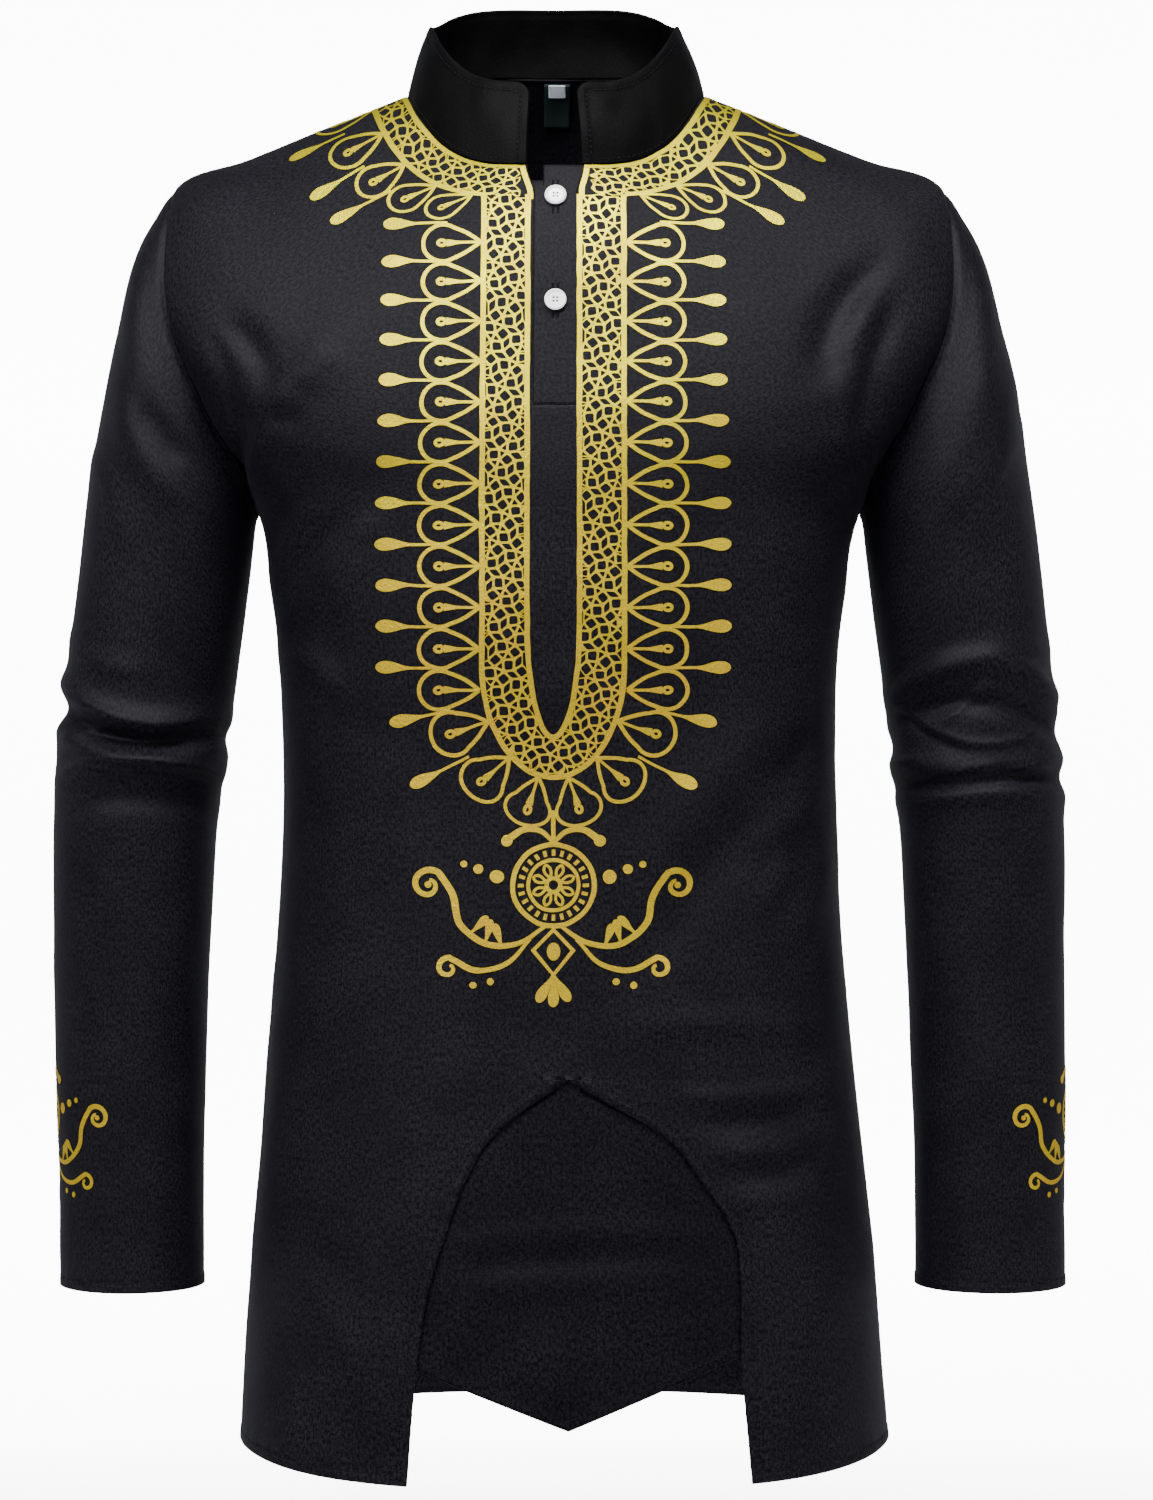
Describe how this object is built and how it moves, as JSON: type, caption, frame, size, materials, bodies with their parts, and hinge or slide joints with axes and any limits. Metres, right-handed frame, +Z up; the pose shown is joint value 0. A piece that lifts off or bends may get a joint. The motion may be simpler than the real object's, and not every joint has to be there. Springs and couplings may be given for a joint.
{
  "type": "dashiki shirt",
  "caption": "Long-sleeved black dashiki shirt with a stand collar, buttoned neck slit, gold print at the neck and cuffs, and a pointed arch let into the front hem.",
  "frame": {"origin": "middle of the neck opening, level with the foot of the collar at its two sides, where the wearer's neck and shoulders hold the shirt up", "axes": "+Z up from the hem to the collar, -Y towards the front with the buttons, +X to the right as the front is seen"},
  "size_m": [0.5662, 0.2352, 0.8116],
  "materials": {
    "cloth": "black satin-faced cotton, fine weave, soft sheen",
    "foil": "gold foil print, bright with fine dark specks",
    "button": "white polished plastic",
    "label": "dark green-black woven satin, bare",
    "tab": "white woven tape, bare"
  },
  "bodies": {
    "root": {"front": "cloth", "front_insert": "cloth", "back": "cloth", "sleeve_left": "cloth", "sleeve_right": "cloth", "collar": "cloth", "placket_over": "cloth", "placket_under": "cloth", "button_upper": "button", "button_lower": "button", "neck_label": "label", "size_tab": "tab"}
  },
  "joints": []
}
